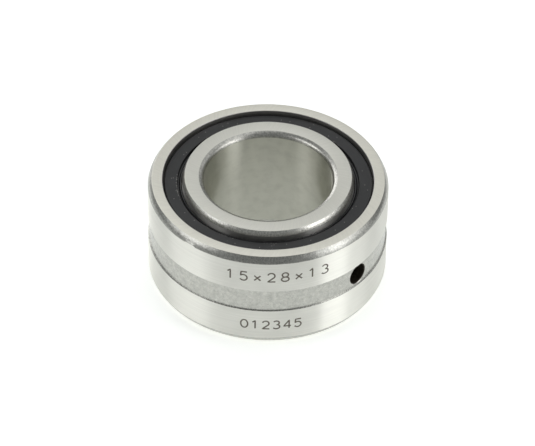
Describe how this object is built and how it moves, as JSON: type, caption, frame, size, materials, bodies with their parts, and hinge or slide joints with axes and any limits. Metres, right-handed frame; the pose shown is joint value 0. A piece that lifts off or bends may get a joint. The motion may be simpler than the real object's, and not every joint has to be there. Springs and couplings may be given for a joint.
{
  "type": "needle roller bearing",
  "caption": "Sealed needle roller bearing with an inner ring that stands proud at both ends, and an outside lubrication groove with an oil hole.",
  "frame": {"origin": "the bearing's centre, on its axis and half way across its width", "axes": "+Z along the bearing's axis, +X through the oil hole"},
  "size_m": [0.028, 0.028, 0.014],
  "materials": {
    "ring_steel": "ground bearing steel with tumbled corners",
    "roller_steel": "lapped bearing steel",
    "cage_steel": "pressed steel sheet, dull",
    "seal_rubber": "moulded nitrile rubber, matt with a glossy lip",
    "stiffener_steel": "cold rolled steel sheet"
  },
  "bodies": {
    "outer_ring": {"outer_ring": "ring_steel", "seal_upper": "seal_rubber", "seal_lower": "seal_rubber", "seal_stiffener_upper": "stiffener_steel", "seal_stiffener_lower": "stiffener_steel"},
    "inner_ring": {"inner_ring": "ring_steel"},
    "cage": {"cage": "cage_steel"},
    "needle_roller_01": {"needle_roller_01": "roller_steel"},
    "needle_roller_02": {"needle_roller_02": "roller_steel"},
    "needle_roller_03": {"needle_roller_03": "roller_steel"},
    "needle_roller_04": {"needle_roller_04": "roller_steel"},
    "needle_roller_05": {"needle_roller_05": "roller_steel"},
    "needle_roller_06": {"needle_roller_06": "roller_steel"},
    "needle_roller_07": {"needle_roller_07": "roller_steel"},
    "needle_roller_08": {"needle_roller_08": "roller_steel"},
    "needle_roller_09": {"needle_roller_09": "roller_steel"},
    "needle_roller_10": {"needle_roller_10": "roller_steel"},
    "needle_roller_11": {"needle_roller_11": "roller_steel"},
    "needle_roller_12": {"needle_roller_12": "roller_steel"},
    "needle_roller_13": {"needle_roller_13": "roller_steel"},
    "needle_roller_14": {"needle_roller_14": "roller_steel"},
    "needle_roller_15": {"needle_roller_15": "roller_steel"},
    "needle_roller_16": {"needle_roller_16": "roller_steel"}
  },
  "joints": [
    {"name": "inner_ring_spin", "type": "hinge", "parent": "outer_ring", "child": "inner_ring", "pos_m": [0, 0, 0], "axis": [0, 0, 1], "continuous": true},
    {"name": "cage_spin", "type": "hinge", "parent": "outer_ring", "child": "cage", "pos_m": [0, 0, 0], "axis": [0, 0, 1], "continuous": true},
    {"name": "needle_roller_01_spin", "type": "hinge", "parent": "cage", "child": "needle_roller_01", "pos_m": [0.01104, 0.0022, 0], "axis": [0, 0, 1], "continuous": true},
    {"name": "needle_roller_02_spin", "type": "hinge", "parent": "cage", "child": "needle_roller_02", "pos_m": [0.00936, 0.00626, 0], "axis": [0, 0, 1], "continuous": true},
    {"name": "needle_roller_03_spin", "type": "hinge", "parent": "cage", "child": "needle_roller_03", "pos_m": [0.00626, 0.00936, 0], "axis": [0, 0, 1], "continuous": true},
    {"name": "needle_roller_04_spin", "type": "hinge", "parent": "cage", "child": "needle_roller_04", "pos_m": [0.0022, 0.01104, 0], "axis": [0, 0, 1], "continuous": true},
    {"name": "needle_roller_05_spin", "type": "hinge", "parent": "cage", "child": "needle_roller_05", "pos_m": [-0.0022, 0.01104, 0], "axis": [0, 0, 1], "continuous": true},
    {"name": "needle_roller_06_spin", "type": "hinge", "parent": "cage", "child": "needle_roller_06", "pos_m": [-0.00626, 0.00936, 0], "axis": [0, 0, 1], "continuous": true},
    {"name": "needle_roller_07_spin", "type": "hinge", "parent": "cage", "child": "needle_roller_07", "pos_m": [-0.00936, 0.00626, 0], "axis": [0, 0, 1], "continuous": true},
    {"name": "needle_roller_08_spin", "type": "hinge", "parent": "cage", "child": "needle_roller_08", "pos_m": [-0.01104, 0.0022, 0], "axis": [0, 0, 1], "continuous": true},
    {"name": "needle_roller_09_spin", "type": "hinge", "parent": "cage", "child": "needle_roller_09", "pos_m": [-0.01104, -0.0022, 0], "axis": [0, 0, 1], "continuous": true},
    {"name": "needle_roller_10_spin", "type": "hinge", "parent": "cage", "child": "needle_roller_10", "pos_m": [-0.00936, -0.00626, 0], "axis": [0, 0, 1], "continuous": true},
    {"name": "needle_roller_11_spin", "type": "hinge", "parent": "cage", "child": "needle_roller_11", "pos_m": [-0.00626, -0.00936, 0], "axis": [0, 0, 1], "continuous": true},
    {"name": "needle_roller_12_spin", "type": "hinge", "parent": "cage", "child": "needle_roller_12", "pos_m": [-0.0022, -0.01104, 0], "axis": [0, 0, 1], "continuous": true},
    {"name": "needle_roller_13_spin", "type": "hinge", "parent": "cage", "child": "needle_roller_13", "pos_m": [0.0022, -0.01104, 0], "axis": [0, 0, 1], "continuous": true},
    {"name": "needle_roller_14_spin", "type": "hinge", "parent": "cage", "child": "needle_roller_14", "pos_m": [0.00626, -0.00936, 0], "axis": [0, 0, 1], "continuous": true},
    {"name": "needle_roller_15_spin", "type": "hinge", "parent": "cage", "child": "needle_roller_15", "pos_m": [0.00936, -0.00626, 0], "axis": [0, 0, 1], "continuous": true},
    {"name": "needle_roller_16_spin", "type": "hinge", "parent": "cage", "child": "needle_roller_16", "pos_m": [0.01104, -0.0022, 0], "axis": [0, 0, 1], "continuous": true}
  ],
  "couplings": [
    {"joint": "cage_spin", "follows": "inner_ring_spin", "ratio": 0.44444},
    {"joint": "needle_roller_01_spin", "follows": "inner_ring_spin", "ratio": -4.4444},
    {"joint": "needle_roller_02_spin", "follows": "inner_ring_spin", "ratio": -4.4444},
    {"joint": "needle_roller_03_spin", "follows": "inner_ring_spin", "ratio": -4.4444},
    {"joint": "needle_roller_04_spin", "follows": "inner_ring_spin", "ratio": -4.4444},
    {"joint": "needle_roller_05_spin", "follows": "inner_ring_spin", "ratio": -4.4444},
    {"joint": "needle_roller_06_spin", "follows": "inner_ring_spin", "ratio": -4.4444},
    {"joint": "needle_roller_07_spin", "follows": "inner_ring_spin", "ratio": -4.4444},
    {"joint": "needle_roller_08_spin", "follows": "inner_ring_spin", "ratio": -4.4444},
    {"joint": "needle_roller_09_spin", "follows": "inner_ring_spin", "ratio": -4.4444},
    {"joint": "needle_roller_10_spin", "follows": "inner_ring_spin", "ratio": -4.4444},
    {"joint": "needle_roller_11_spin", "follows": "inner_ring_spin", "ratio": -4.4444},
    {"joint": "needle_roller_12_spin", "follows": "inner_ring_spin", "ratio": -4.4444},
    {"joint": "needle_roller_13_spin", "follows": "inner_ring_spin", "ratio": -4.4444},
    {"joint": "needle_roller_14_spin", "follows": "inner_ring_spin", "ratio": -4.4444},
    {"joint": "needle_roller_15_spin", "follows": "inner_ring_spin", "ratio": -4.4444},
    {"joint": "needle_roller_16_spin", "follows": "inner_ring_spin", "ratio": -4.4444}
  ]
}
